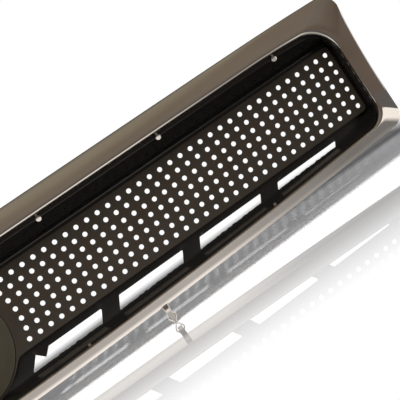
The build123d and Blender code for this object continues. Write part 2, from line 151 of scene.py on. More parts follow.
def soft_max(a, b, ease=4.0):
    """The larger of two heights, with the corner where they cross eased round."""
    return (a + b + np.sqrt((a - b) ** 2 + ease * ease)) / 2 - ease / 20


def outline(shape, boss=0.0):
    """A closed outline as rows of x and height, clockwise from the top left corner."""
    top_half, foot_half, _, _, r_top, _, _, r_foot = shape
    a, b = top_half - r_top, foot_half - r_foot
    high = top_at(shape, a) - r_top
    xs = np.linspace(-a, a, 121)
    if boss:
        near = np.linspace(-1.1 * boss, 1.1 * boss, 97)
        far = np.linspace(1.1 * boss, a, 45)[1:]
        xs = np.concatenate([-far[::-1], near, far])
    lift = top_at(shape, xs)
    foot_xs = xs[::-1] * b / a
    drop = foot_at(shape, foot_xs)
    if boss:
        round_top = np.sqrt(np.maximum(boss * boss - xs * xs, 0.0)) - MID_Z
        round_foot = np.sqrt(np.maximum(boss * boss - foot_xs ** 2, 0.0)) + MID_Z
        lift = np.where(abs(xs) < boss, soft_max(lift, round_top), lift)
        drop = np.where(abs(foot_xs) < boss, -soft_max(-drop, round_foot, 2.0), drop)
    low = foot_at(shape, b) + r_foot
    turn = np.linspace(0, pi / 2, 17)[1:-1]
    arc_top = np.column_stack([a + r_top * np.sin(turn), high + r_top * np.cos(turn)])
    arc_foot = np.column_stack([b + r_foot * np.cos(turn), low - r_foot * np.sin(turn)])
    t = np.linspace(1, 0, 21)
    side = np.column_stack([foot_half + (top_half - foot_half) * t ** 3, low + (high - low) * t])
    right = [arc_top, side, arc_foot]
    left = [part[::-1] * (-1, 1) for part in reversed(right)]
    return np.vstack([np.column_stack([xs, lift])] + right
                     + [np.column_stack([foot_xs, drop])] + left)


def bowed(flat, depth):
    """Rows of x and height laid on the bow at a depth behind the panel's front face."""
    return np.column_stack([flat[:, 0], FACE_Y + bow(flat[:, 0]) + depth, MID_Z + flat[:, 1]])


class Skin:
    """The points, in millimetres, and faces of a piece while it is made."""

    def __init__(self):
        self.points, self.faces = [], []

    def add(self, points, faces):
        start = len(self.points)
        self.points.extend(map(tuple, points))
        self.faces.extend(tuple(start + i for i in face) for face in faces)

    def band(self, ring_a, ring_b, closed=True):
        """Quads between two rows of points of one length."""
        n = len(ring_a)
        last = n if closed else n - 1
        quads = [(i, (i + 1) % n, n + (i + 1) % n, n + i) for i in range(last)]
        self.add(np.vstack([ring_a, ring_b]), quads)

    def hull(self, rings, closed=True):
        """Quads all along a list of rings; a closed hull joins the last ring to the first."""
        for i in range(len(rings) - (0 if closed else 1)):
            self.band(rings[i], rings[(i + 1) % len(rings)])

    def cap(self, ring):
        self.add(ring, [range(len(ring))])

    def turned(self, centre, profile, sides=40):
        """A closed profile of radius and depth, turned about the line back through centre."""
        turn = np.linspace(0, 2 * pi, sides, endpoint=False)
        across, up = np.cos(turn), np.sin(turn)
        self.hull([np.column_stack([radius * across, np.full(sides, depth), radius * up])
                   + np.array(centre) for radius, depth in profile])

    def block(self, place, corners, edge):
        """A box with its edges eased, between two corners that are given from a place."""
        low, high = (Vector(place) + Vector(corner) for corner in corners)
        bm = bmesh.new()
        bmesh.ops.create_cube(bm, size=1.0)
        size, middle = high - low, (high + low) / 2
        for v in bm.verts:
            v.co = Vector(a * b for a, b in zip(v.co, size)) + middle
        bmesh.ops.bevel(bm, geom=bm.edges[:], offset=edge, segments=2, affect="EDGES", profile=0.5)
        bm.verts.index_update()
        self.add([v.co for v in bm.verts], [[v.index for v in f.verts] for f in bm.faces])
        bm.free()

    def piece(self, name, sharp=35.0):
        """Makes the object: points in metres, doubles joined, faces turned outwards."""
        bm = bmesh.new()
        verts = [bm.verts.new(Vector(p) * MM) for p in self.points]
        for face in self.faces:
            bm.faces.new([verts[i] for i in face])
        bmesh.ops.remove_doubles(bm, verts=bm.verts, dist=2e-6)
        bmesh.ops.dissolve_degenerate(bm, edges=bm.edges, dist=1e-6)
        bmesh.ops.recalc_face_normals(bm, faces=bm.faces)
        data = bpy.data.meshes.new(name)
        bm.to_mesh(data)
        bm.free()
        data.shade_smooth()
        data.set_sharp_from_angle(angle=radians(sharp))
        made = bpy.data.objects.new(name, data)
        bpy.context.scene.collection.objects.link(made)
        return made


def through(knots, steps):
    """A smooth run through knots, with a few steps from each to the next."""
    knots = np.array(knots, float)
    slopes = np.gradient(knots, axis=0)
    run = []
    for i in range(len(knots) - 1):
        for t in np.linspace(0, 1, steps, endpoint=False):
            a, b = knots[i], knots[i + 1]
            run.append(a * (2 * t**3 - 3 * t**2 + 1) + slopes[i] * (t**3 - 2 * t**2 + t)
                       + b * (3 * t**2 - 2 * t**3) + slopes[i + 1] * (t**3 - t**2))
    return run + [knots[-1]]


def shell_section():
    """The shell's section as pairs of outline and depth: rim, crown, rolled lip and inside."""
    section = [(OUTER, depth) for depth in RIM_DEPTHS]
    section += [(mix(LIP, OUTER, w), depth) for w, depth in reversed(through(CROWN, 5))]
    for turn in np.radians(np.arange(9, 91, 9)):
        share = ROLL_SHARE * (1 - sin(turn))
        section.append((mix(LIP, OUTER, share), LIP_FRONT + ROLL_DEPTH * (1 - cos(turn))))
    return section + [(grow(mix(LIP, OUTER, w), growth), depth) for w, growth, depth in INSIDE]


def nub_head(skin, x, y, z):
    """The round head of a top nub: its face leans down and is slightly domed."""
    turn = np.linspace(0, 2 * pi, 28, endpoint=False)
    across, up = np.cos(turn), np.sin(turn)

    def ring(radius, front, lean):
        deep = y + front - lean * radius * up
        return np.column_stack([x + radius * across, deep, z + radius * up])

    face_r, face = NUB_R - EDGE, NUB_BACK - NUB_T
    rings = [ring(face_r, NUB_BACK, 0.0), ring(NUB_R, NUB_BACK - EDGE, 0.0),
             ring(NUB_R, face + EDGE, 0.3), ring(face_r, face, 0.35)]
    rings += [ring(r, face - 0.1 * (face_r - r), 0.4) for r in (1.9, 1.0)]
    skin.hull(rings, closed=False)
    skin.cap(rings[0])
    skin.cap(rings[-1])


def both(places):
    """Each x on the left and on the right."""
    return [side * x for x in places for side in (-1, 1)]


def ear(skin, x):
    """A mounting ear behind the top band: a plate with a bore, on two ribs."""
    y, z = FACE_Y + bow(x) + RIM_BACK, OUTER[2] - WALL + MID_Z
    root, side_start, end = EAR_DEPTHS
    under, over = EAR_LEVELS
    turn = np.linspace(0, pi / 2, 9)
    corner = np.column_stack([EAR_HALF - EAR_CORNER + EAR_CORNER * np.cos(turn),
                              end - EAR_CORNER + EAR_CORNER * np.sin(turn)])
    edge = np.vstack([[(EAR_HALF, root), (EAR_HALF, side_start)], corner, corner[::-1] * (-1, 1),
                      [(-EAR_HALF, side_start), (-EAR_HALF, root), (-EAR_ROOT_X, root),
                       (EAR_ROOT_X, root)]])
    edge = edge - (0, EAR_BORE_Y)
    turned = np.arctan2(edge[:, 1], edge[:, 0])
    bore = EAR_BORE_R * np.column_stack([np.cos(turned), np.sin(turned)])

    def level(ring, height, scale=1.0):
        return np.column_stack([x + ring[:, 0] * scale, y + EAR_BORE_Y + ring[:, 1] * scale,
                                np.full(len(ring), z + height)])

    skin.hull([level(bore, under), level(edge, under, EAR_FACE), level(edge, under + EDGE),
               level(edge, over - EDGE), level(edge, over, EAR_FACE), level(bore, over)])
    for rib in (x - EAR_RIB_X, x + EAR_RIB_X):
        skin.block((rib, y, z), EAR_RIB, BLOCK_EDGE)


def screw_bosses():
    """Each screw's x, its height over the middle row, and the front of its boss."""
    bosses = [(x, top_at(LIP, x) + SCREW_OUT, SCREW_FRONT) for x in both(SCREW_TOP_X)]
    bosses += [(x, foot_at(LIP, x) - SCREW_OUT, SCREW_FRONT_FOOT) for x in both(SCREW_FOOT_X)]
    bosses += [(x, z, SCREW_FRONT) for z in SCREW_SIDE_Z for x in both([LIP[0] + SCREW_SIDE_OUT])]
    return bosses


shell = Skin()
shell.hull([bowed(outline(shape), depth) for shape, depth in shell_section()])
for x, z, front in screw_bosses():
    shell.turned((x, FACE_Y + bow(x), z + MID_Z),
                 [(SCREW_BORE_R, SCREW_BOSS_END), (SCREW_BORE_R, front), (SCREW_BOSS_R, front),
                  (SCREW_BOSS_R, SCREW_BOSS_END - SCREW_BOSS_EDGE),
                  (SCREW_BOSS_R - SCREW_BOSS_EDGE, SCREW_BOSS_END)])
for x in both(NUB_TOP_X):
    y, z = FACE_Y + bow(x), top_at(LIP, x) + MID_Z
    shell.block((x, y, z), NUB_STEM, EDGE)
    nub_head(shell, x, y, z - NUB_DROP)
for x in both(NUB_FOOT_X):
    shell.block((x, FACE_Y + bow(x), foot_at(LIP, x) + MID_Z), NUB_FOOT, 2 * EDGE)
for x in both([CLIP_X]):
    rim = foot_at(OUTER, x) + MID_Z
    tab = ((-TAB_HALF, TAB_FRONT, CLIP_TIP + TAB_UP), (TAB_HALF, TAB_BACK, rim + TAB_BITE))
    shell.block((x, FACE_Y + bow(x), 0.0), tab, BLOCK_EDGE)
for x in both(EAR_X):
    ear(shell, x)
surround = shell.piece("surround_face")


def fill(tree, kind, values=None, **settings):
    """Adds a node, sets its plain properties and its inputs, and links inputs given as outputs."""
    made = tree.nodes.new(kind)
    for key, value in settings.items():
        setattr(made, key, value)
    for key, value in (values or {}).items():
        if isinstance(value, bpy.types.NodeSocket):
            tree.links.new(value, made.inputs[key])
        else:
            made.inputs[key].default_value = value
    return made


def effect(name, inputs, outputs):
    """A shader node group with named number inputs and outputs."""
    tree = bpy.data.node_groups.new(name, "ShaderNodeTree")
    for word, value in inputs.items():
        socket = tree.interface.new_socket(word, in_out="INPUT", socket_type="NodeSocketFloat")
        socket.default_value = value
    for word in outputs:
        tree.interface.new_socket(word, in_out="OUTPUT", socket_type="NodeSocketFloat")
    return tree, tree.nodes.new("NodeGroupInput"), tree.nodes.new("NodeGroupOutput")


def noise(tree, point, scale, detail=2.0, rough=0.5):
    """Soft noise between 0 and 1; the scale is in waves to the metre."""
    made = fill(tree, "ShaderNodeTexNoise", {"Vector": point, "Scale": scale, "Detail": detail,
                                             "Roughness": rough})
    return made.outputs["Fac"]


def spread(tree, value, low, high, to_low=0.0, to_high=1.0):
    """A straight ramp from one value to another between low and high, level outside them."""
    made = fill(tree, "ShaderNodeMapRange", {"Value": value, "From Min": low, "From Max": high,
                                             "To Min": to_low, "To Max": to_high})
    return made.outputs["Result"]


def sum_of(tree, a, b, kind="ADD"):
    """The sum of two numbers or outputs, or what another kind of arithmetic makes of them."""
    return fill(tree, "ShaderNodeMath", {0: a, 1: b}, operation=kind).outputs[0]


def flow_marks():
    """Plating that follows the moulding: slow waves, fine polish lines along the bar, smears."""
    tree, given, result = effect("flow_marks", {"Wave": 9.0, "Line": 260.0},
                                 ("Wave height", "Line height", "Smear"))
    point = fill(tree, "ShaderNodeTexCoord").outputs["Object"]
    drawn = fill(tree, "ShaderNodeMapping", {"Vector": point, "Scale": (0.02, 1.0, 1.0)})
    slow = fill(tree, "ShaderNodeMapping", {"Vector": point, "Scale": (0.3, 1.0, 1.0)})
    wave = noise(tree, slow.outputs[0], given.outputs["Wave"], 1.0)
    line = noise(tree, drawn.outputs[0], given.outputs["Line"], 3.0, 0.6)
    smear = spread(tree, noise(tree, slow.outputs[0], 22.0, 4.0, 0.6), 0.45, 0.75)
    for word, value in (("Wave height", wave), ("Line height", line), ("Smear", smear)):
        tree.links.new(value, result.inputs[word])
    return tree


def dust_marks():
    """Settled dust and hairline rubs: a mask of fine specks and one of thin scratches."""
    tree, given, result = effect("dust_marks", {"Speck": 900.0, "Amount": 0.5}, ("Specks", "Rubs"))
    point = fill(tree, "ShaderNodeTexCoord").outputs["Object"]
    specks = noise(tree, point, given.outputs["Speck"], 2.0, 0.7)
    clouds = noise(tree, point, 14.0, 3.0, 0.6)
    dense = sum_of(tree, spread(tree, clouds, 0.35, 0.7), given.outputs["Amount"], "MULTIPLY")
    specks = sum_of(tree, spread(tree, specks, 0.62, 0.74), dense, "MULTIPLY")
    drawn = fill(tree, "ShaderNodeMapping", {"Vector": point, "Rotation": (0.0, 0.5, 0.3),
                                             "Scale": (0.04, 1.0, 1.0)})
    rubs = spread(tree, noise(tree, drawn.outputs[0], 700.0, 2.0, 0.6), 0.66, 0.72)
    tree.links.new(specks, result.inputs["Specks"])
    tree.links.new(sum_of(tree, rubs, dense, "MULTIPLY"), result.inputs["Rubs"])
    return tree


def placed(tree, group, **values):
    """Places a shared effect in a material with its own values."""
    made = fill(tree, "ShaderNodeGroup", node_tree=group)
    for word, value in values.items():
        made.inputs[word].default_value = value
    return made.outputs


def finish_of(name):
    """An empty material with its shader and a tree to build on."""
    made = bpy.data.materials.new(name)
    made.use_nodes = True
    return made, made.node_tree, made.node_tree.nodes["Principled BSDF"]


def two_tone(tree, share, first, second):
    """A colour between two by a mask; each is an output, or its red, green and blue."""
    ends = [c if isinstance(c, bpy.types.NodeSocket) else (*c, 1.0) for c in (first, second)]
    made = fill(tree, "ShaderNodeMix", {0: share, 6: ends[0], 7: ends[1]}, data_type="RGBA")
    return made.outputs[2]


def relief(tree, shader, *layers):
    """Bump layers, each a height, a strength and a distance in millimetres, one on another."""
    before = None
    for height, strength, distance in layers:
        bump = fill(tree, "ShaderNodeBump", {"Height": height, "Strength": strength,
                                             "Distance": distance * MM})
        if before:
            tree.links.new(before.outputs[0], bump.inputs["Normal"])
        before = bump
    tree.links.new(before.outputs[0], shader.inputs["Normal"])


FLOW = flow_marks()
DUST = dust_marks()
PLATE = (0.69, 0.675, 0.65)
PLATE_SMEARED = (0.62, 0.60, 0.565)


def plated_finish():
    """Bright plate: mirror metal with slow waves, faint lines along the bar and a little dust."""
    made, tree, shader = finish_of("bright_plate")
    flow = placed(tree, FLOW, Wave=9.0, Line=260.0)
    dust = placed(tree, DUST, Speck=1100.0, Amount=0.35)
    tone = two_tone(tree, flow["Smear"], PLATE, PLATE_SMEARED)
    tree.links.new(tone, shader.inputs["Base Color"])
    shader.inputs["Metallic"].default_value = 1.0
    rough = spread(tree, flow["Line height"], 0.3, 0.7, 0.06, 0.11)
    rough = sum_of(tree, rough, spread(tree, dust["Specks"], 0.0, 1.0, 0.0, 0.25))
    tree.links.new(rough, shader.inputs["Roughness"])
    relief(tree, shader, (flow["Wave height"], 0.15, 0.8), (flow["Line height"], 0.03, 0.03))
    return made


def finish(piece, material, slot, *replaced):
    """Gives a piece its material, its place on the body and the CAD nodes that it stands for."""
    piece.data.materials.append(material)
    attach(piece, "root")
    if replaced:
        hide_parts(*replaced)


bright_plate = plated_finish()
finish(surround, bright_plate, "bright_trim", "surround_shell")


# ---------------------------------------------------------------- insert tray
# The black tray is a gloss ABS moulding screwed behind the lip. A flat land shows as a dark line
# under the lip, then the wall runs down a small round to the floor, which is pierced by slots.
FLOOR = (LIP[0] + 2.0, LIP[1] + 2.0, 42.5, 0.0, 9.0, -64.0, 5.0e-5, 9.0)
TRAY_T = 2.5
FLOOR_D = 3.1                # front of the tray's floor
SEAM = 0.3                   # between the lip's return and the tray's flange
INNER = grow(LIP, -0.8)      # the tray's opening
LAND = LIP_END + SEAM        # front of the flange and of the land under the lip
COVE = FLOOR_D - 0.06
# the wall from the land down to the floor: share of the way out, depth
TRAY_WALL = ((0.84, LAND + 0.1), (0.80, LAND + 0.9), (0.77, LAND + 2.0), (0.60, -12.2),
             (0.30, -3.6), (0.12, 1.4), (0.05, 2.6), (0.0, COVE))
# its back from under the floor out to the flange: share of the way out, growth, depth
TRAY_BACK = ((0.0, -1.0, COVE), (0.0, -1.0, FLOOR_D + 1.4), (0.0, 0.6, FLOOR_D + TRAY_T + 0.9),
             (0.0, 2.4, FLOOR_D + TRAY_T + 1.0), (0.5, 2.6, -6.4), (0.88, 2.3, -14.8))
BOSS_R = 65.0                # round of the tray about the badge
FLANGE_W = 8.0
WINDOW_ARC_R = 71.0
WINDOW_HALF = LIP[0] - 2.9
WINDOW_UP = 35.5
WINDOW_CORNER = 4.0
# each slot's x at the top left corner, top, foot at the left and foot at the right
SLOTS = ((66.8, -48.2, -62.2, -61.3), (165.2, -47.4, -60.9, -59.0),
         (263.6, -47.0, -58.4, -55.6), (362.0, -47.9, -55.3, -53.6))
SLOT_W = 77.0
SLOT_LEAN = 0.58
SLOT_LEAN_FIRST = 0.86
SLOT_CORNER = 1.0
# how uneven a slot's foot is: height, waves in radians to the millimetre, shift by slot
FOOT_WAVES = ((0.35, 0.9, 1.0), (0.3, 0.37, 2.0), (0.2, 2.3, 0.0))
FOOT_BURR = 0.3              # its mean height over a clean cut
HOLE_ROUND = 0.2             # round on the edges of slots, windows and holes
ROUND_MID = 0.3              # where a small round's middle lies, as a share of its radius
STUD_X = (92.0, 186.0, 280.0, 374.0, 468.0)
STUD_Z = 38.0
STUD_R = 1.5
STUD_GAP = 0.1
SEAT_STUD_CIRCLE = 45.0
SEAT_STUD_HOLE_R = 2.2
LUG_X, LUG_Z = 74.0, -48.5
LUG_HALF = 7.3               # half diagonal of the square lug
LUG_FRONT = 1.2              # its front and its back, behind the floor's front
LUG_BACK = 15.0
LUG_BORE_R = 1.7
LUG_BORE_DEEP = 9.0


def tray_section():
    """The tray's walls: flange, land under the lip, rounded edge, wall, cove and back."""
    back = LAND + TRAY_T
    section = [(grow(LIP, FLANGE_W), LAND + EDGE), (grow(LIP, FLANGE_W - EDGE), LAND),
               (INNER, LAND), (mix(FLOOR, INNER, 0.86), LAND)]
    section += [(mix(FLOOR, INNER, w), depth) for w, depth in through(TRAY_WALL, 4)]
    section += [(grow(mix(FLOOR, INNER, w), growth), depth) for w, growth, depth in TRAY_BACK]
    return section + [(grow(LIP, 2.4), back), (grow(LIP, FLANGE_W - EDGE), back),
                      (grow(LIP, FLANGE_W), back - EDGE)]


def rounded(corners, radius, steps=4):
    """A closed polygon with each corner turned on a small radius."""
    pts, n = [], len(corners)
    for i in range(n):
        p = Vector(corners[i])
        a = (Vector(corners[i - 1]) - p).normalized()
        b = (Vector(corners[(i + 1) % n]) - p).normalized()
        half = a.angle(b) / 2
        reach = radius / np.tan(half)
        start, end = p + a * reach, p + b * reach
        middle = p + (a + b).normalized() * radius / sin(half)
        for k in range(steps + 1):
            spoke = start.lerp(end, k / steps) - middle
            pts.append(tuple(middle + spoke.normalized() * radius))
    return pts


def slot_outline(n, side):
    """One leaning slot; its foot was trimmed by hand and is a little uneven."""
    x0, top, foot0, foot1 = SLOTS[n]
    x1 = x0 + SLOT_W
    lean0 = SLOT_LEAN_FIRST if n == 0 else SLOT_LEAN
    left = x0 - lean0 * (top - foot0)
    right = x1 - SLOT_LEAN * (top - foot1)
    pts = rounded([(x0, top), (x1, top), (right, foot1), (left, foot0)], SLOT_CORNER)
    foot = []
    for t in np.linspace(0.06, 0.94, 34):
        x = right + (left - right) * t
        uneven = sum(high * sin(wave * x + shift * n) for high, wave, shift in FOOT_WAVES)
        level = foot1 + (foot0 - foot1) * (right - x) / (right - left)
        foot.append((x, level + FOOT_BURR + max(uneven, -FOOT_BURR) * sin(pi * t)))
    half = len(pts) // 4 * 3
    pts = pts[:half] + foot + pts[half:]
    return [(side * x, z) for x, z in pts]


def window_outline(side):
    """The large opening behind the perforated panel on one side of the badge."""
    low, high, r = -WINDOW_UP, WINDOW_UP, WINDOW_ARC_R
    turn = np.linspace(asin((high + MID_Z) / r), asin((low + MID_Z) / r), 25)
    pts = [(r * cos(t), r * sin(t) - MID_Z) for t in turn]
    corners = [(WINDOW_HALF, low), (WINDOW_HALF, high), (r, high), (r, low)]
    pts += rounded(corners, WINDOW_CORNER)[:10]      # the two far corners only
    return [(side * x, z) for x, z in pts]


def circle(x, z, r, sides=20):
    return [(x + r * cos(2 * pi * i / sides), z + r * sin(2 * pi * i / sides)) for i in range(sides)]


def eased(loop, inset):
    """A closed loop of points moved square to its edges, to the left of its run."""
    pts = np.array(loop)
    ahead = np.roll(pts, -1, axis=0) - pts
    ahead /= np.linalg.norm(ahead, axis=1)[:, None]
    normal = np.column_stack([-ahead[:, 1], ahead[:, 0]])
    both_sides = normal + np.roll(normal, 1, axis=0)
    share = np.maximum((both_sides ** 2).sum(axis=1), 0.5) / 2
    return pts + both_sides / share[:, None] * inset


def turned_left(loop, left=True):
    """The loop run so that the plate lies to its left."""
    x, z = np.array(loop).T
    area = (x * np.roll(z, -1) - z * np.roll(x, -1)).sum()
    return np.array(loop) if (area > 0) == left else np.array(loop)[::-1]


def sheet(skin, loops, depth, step=10.0):
    """A flat sheet with holes, filled between its loops, then laid on the bow in strips."""
    bm = bmesh.new()
    edges = []
    for loop in loops:
        verts = [bm.verts.new((x, z, 0.0)) for x, z in loop]
        edges += [bm.edges.new((verts[i - 1], verts[i])) for i in range(len(verts))]
    bmesh.ops.triangle_fill(bm, edges=edges, use_beauty=True, use_dissolve=False)
    reach = loops[0][:, 0].max()
    for x in np.arange(step - reach, reach, step):
        bmesh.ops.bisect_plane(bm, geom=bm.verts[:] + bm.edges[:] + bm.faces[:], dist=1e-4,
                               plane_co=(x, 0, 0), plane_no=(1, 0, 0))
    bm.verts.index_update()
    rows = np.array([v.co for v in bm.verts])
    skin.add(bowed(rows[:, :2], depth), [[v.index for v in f.verts] for f in bm.faces])
    bm.free()


def pierced_plate(skin, loops, depth, thick, edge):
    """A plate on the bow: an outer loop, holes, and an eased edge along every one of them."""
    loops = [turned_left(loop, i == 0) for i, loop in enumerate(loops)]
    for loop in loops:
        mid = ROUND_MID * edge
        steps = [(edge, 0.0), (mid, mid), (0.0, edge), (0.0, thick - edge), (mid, thick - mid),
                 (edge, thick)]
        skin.hull([bowed(eased(loop, inset), depth + down) for inset, down in steps], closed=False)
    for down in (0.0, thick):
        sheet(skin, [eased(loop, edge) for loop in loops], depth + down)


def flat_faces(piece):
    """Keeps wide flat faces flat beside their eased edges."""
    even = piece.modifiers.new("flat_faces", "WEIGHTED_NORMAL")
    even.weight = 90
    even.keep_sharp = True


def lug(skin, x):
    """A square lug on the tray's back, set on its corner, with a blind bore for a screw."""
    centre = np.array((x, 0.0, LUG_Z + MID_Z))
    y0, y1 = (FACE_Y + FLOOR_D + depth for depth in (LUG_FRONT, LUG_BACK))
    turn = np.linspace(0, 2 * pi, 32, endpoint=False)
    square = LUG_HALF / (abs(np.cos(turn)) + abs(np.sin(turn)))

    def ring(radius, y):
        return centre + np.column_stack([radius * np.cos(turn), np.full(32, y), radius * np.sin(turn)])

    rings = [ring(square - EDGE, y0), ring(square, y0 + EDGE), ring(square, y1 - EDGE),
             ring(square - EDGE, y1), ring(LUG_BORE_R, y1), ring(LUG_BORE_R, y1 - LUG_BORE_DEEP)]
    skin.hull(rings, closed=False)
    skin.cap(rings[0])
    skin.cap(rings[-1])


stud_places = [(x, z) for z in (STUD_Z, -STUD_Z) for x in both(STUD_X)]
seat_studs = [(SEAT_STUD_CIRCLE * cos(a), SEAT_STUD_CIRCLE * sin(a))
              for a in np.radians((90, 210, 330))]

tray = Skin()
tray.hull([bowed(outline(shape, BOSS_R), depth) for shape, depth in tray_section()])
loops = [outline(grow(FLOOR, 0.6), BOSS_R)]
loops += [window_outline(side) for side in (-1, 1)]
loops += [slot_outline(n, side) for n in range(len(SLOTS)) for side in (-1, 1)]
loops += [circle(x, z, STUD_R + STUD_GAP) for x, z in stud_places]
loops += [circle(x, z - MID_Z, SEAT_STUD_HOLE_R) for x, z in seat_studs]
pierced_plate(tray, loops, FLOOR_D, TRAY_T, HOLE_ROUND)
for x in both([LUG_X]):
    lug(tray, x)
tray_piece = tray.piece("black_tray")
flat_faces(tray_piece)


def moulded_skin():
    """The skin of a moulding: slow sink waves, fine orange peel and a faint change of shade."""
    tree, given, result = effect("moulded_skin", {"Peel": 420.0, "Sink": 16.0},
                                 ("Peel height", "Sink height", "Shade"))
    point = fill(tree, "ShaderNodeTexCoord").outputs["Object"]
    peel = noise(tree, point, given.outputs["Peel"], 2.0, 0.55)
    sink = noise(tree, point, given.outputs["Sink"], 1.0)
    shade = spread(tree, noise(tree, point, 30.0, 5.0, 0.65), 0.3, 0.7)
    for word, value in (("Peel height", peel), ("Sink height", sink), ("Shade", shade)):
        tree.links.new(value, result.inputs[word])
    return tree


MOULDED = moulded_skin()
TRAY_BLACK = (0.007, 0.0066, 0.006)
TRAY_DUST = (0.075, 0.07, 0.06)


def gloss_black_finish():
    """Gloss black ABS with orange peel, hairline rubs and a little settled dust."""
    made, tree, shader = finish_of("gloss_black")
    skin = placed(tree, MOULDED, Peel=420.0, Sink=16.0)
    dust = placed(tree, DUST, Speck=1300.0, Amount=0.5)
    tone = two_tone(tree, sum_of(tree, dust["Specks"], 0.35, "MULTIPLY"), TRAY_BLACK, TRAY_DUST)
    tree.links.new(tone, shader.inputs["Base Color"])
    rough = spread(tree, skin["Shade"], 0.0, 1.0, 0.13, 0.21)
    rough = sum_of(tree, rough, spread(tree, dust["Rubs"], 0.0, 1.0, 0.0, 0.2))
    tree.links.new(rough, shader.inputs["Roughness"])
    shader.inputs["IOR"].default_value = 1.52
    relief(tree, shader, (skin["Sink height"], 0.15, 0.6), (skin["Peel height"], 0.1, 0.05))
    return made


finish(tray_piece, gloss_black_finish(), "tray_black", "insert_tray")


# ---------------------------------------------------------------- perforated panel
# The panel is a satin painted moulding, laid on the tray's floor and held by studs at its back.
# Its holes flare to the back, its columns follow the round of the badge and straighten towards
# the ends, and its edge is rolled over.
PANEL_T = 3.0
PANEL_UP = 40.0
PANEL_CORNER = 5.0
PANEL_EDGE = 0.9
# the rolled edge as shares of its radius: inset, depth
ROLLED = ((1.0, 0.0), (0.55, 0.1), (0.29, 0.29), (0.1, 0.55), (0.0, 1.0))
SEAT_HOLE_R = 62.8
BOSS_GAP = 0.4               # the round boss stands inside the tray's round by this
AXIS = 0.01                  # radius that closes a turned piece at its middle
STUD_ROOT = PANEL_T - 1.0
STUD_END = 9.5
STUD_TAPER = 0.5
ROWS = 7
COLUMNS = 34
ROW_PITCH = 10.5
HOLE_D = 5.0
HOLE_BACK_D = 6.4
HOLE_EDGE = 0.22
FIRST_ARC_R = 77.5           # the column nearest the badge lies on this radius
LAST_X = 480.2               # and the column at the end here
CELL_SIDE = 6                # steps along one side of the square about a hole


def column_x(c, z):
    """x of column c, which may lie between two, at a height over the middle row."""
    near = np.sqrt(FIRST_ARC_R ** 2 - (z + MID_Z) ** 2)
    return near + (LAST_X - near) * c / (COLUMNS - 1)


def cell_edge(c, r):
    """The square about a hole: rows of x and height, anticlockwise from the lower left."""
    step = np.linspace(0, 1, CELL_SIDE, endpoint=False)
    cs = np.concatenate([step, np.ones(CELL_SIDE), 1 - step, np.zeros(CELL_SIDE)]) - 0.5 + c
    rs = np.concatenate([np.zeros(CELL_SIDE), step, np.ones(CELL_SIDE), 1 - step]) - 0.5 + r
    z = (rs - (ROWS - 1) / 2) * ROW_PITCH
    return np.column_stack([column_x(cs, z), z])


def holed_cell(skin, c, r, side):
    """The panel about one hole: front, eased edge, flared bore, eased edge and back."""
    z = (r - (ROWS - 1) / 2) * ROW_PITCH
    edge = cell_edge(c, r)
    turn = np.linspace(0, 2 * pi, len(edge), endpoint=False) - 0.75 * pi
    spoke = np.column_stack([np.cos(turn), np.sin(turn)])
    centre = np.array((column_x(c, z), z))
    front, back = HOLE_D / 2, HOLE_BACK_D / 2
    mid = ROUND_MID * HOLE_EDGE
    steps = [(front + HOLE_EDGE, 0.0), (front + mid, mid), (front, HOLE_EDGE),
             (back, PANEL_T - HOLE_EDGE), (back + HOLE_EDGE, PANEL_T)]
    flip = np.array((side, 1))
    rings = [bowed(edge * flip, 0.0)]
    rings += [bowed((centre + spoke * radius) * flip, depth) for radius, depth in steps]
    rings.append(bowed(edge * flip, PANEL_T))
    skin.hull(rings, closed=False)


def grid_border():
    """The right half's border about the cells, from the top near the badge round to the foot."""
    c = np.linspace(-0.5, COLUMNS - 0.5, COLUMNS * CELL_SIDE + 1)
    up = np.linspace(0.5 * ROWS, -0.5 * ROWS, ROWS * CELL_SIDE + 1) * ROW_PITCH
    top = np.column_stack([column_x(c, up[0]), np.full(len(c), up[0])])
    end = np.column_stack([column_x(c[-1], up), up])
    foot = np.column_stack([column_x(c, up[-1]), np.full(len(c), up[-1])])[::-1]
    near = np.column_stack([column_x(c[0], up), up])
    return np.vstack([top, end[1:-1], foot]), near


def rim_of(points, inset):
    """Moves points of the cells' border straight out to the panel's edge, less an inset."""
    core = np.array((LIP[0] - PANEL_CORNER, PANEL_UP - PANEL_CORNER))
    held = np.clip(points, -core, core)
    out = points - held
    return held + out / np.linalg.norm(out, axis=1)[:, None] * (PANEL_CORNER - inset)


def boss_rim(x, inset, sign):
    """The panel's edge over or under the badge, where the round boss lifts it."""
    boss = BOSS_R - BOSS_GAP - inset
    level = PANEL_UP - inset + sign * MID_Z
    crest = np.sqrt(np.maximum(boss * boss - x * x, 0.0))
    return np.column_stack([x, sign * soft_max(level, crest) - MID_Z])


def panel_rim(inset):
    """The whole edge, clockwise from the top left of the boss."""
    border, near = grid_border()
    right = rim_of(border, inset)
    top_x, foot_x = right[0, 0], right[-1, 0]
    over = boss_rim(np.linspace(-top_x, top_x, 61), inset, 1)
    under = boss_rim(np.linspace(foot_x, -foot_x, 61), inset, -1)
    left = right[::-1] * (-1, 1)
    return np.vstack([over[:-1], right, under[1:-1], left])


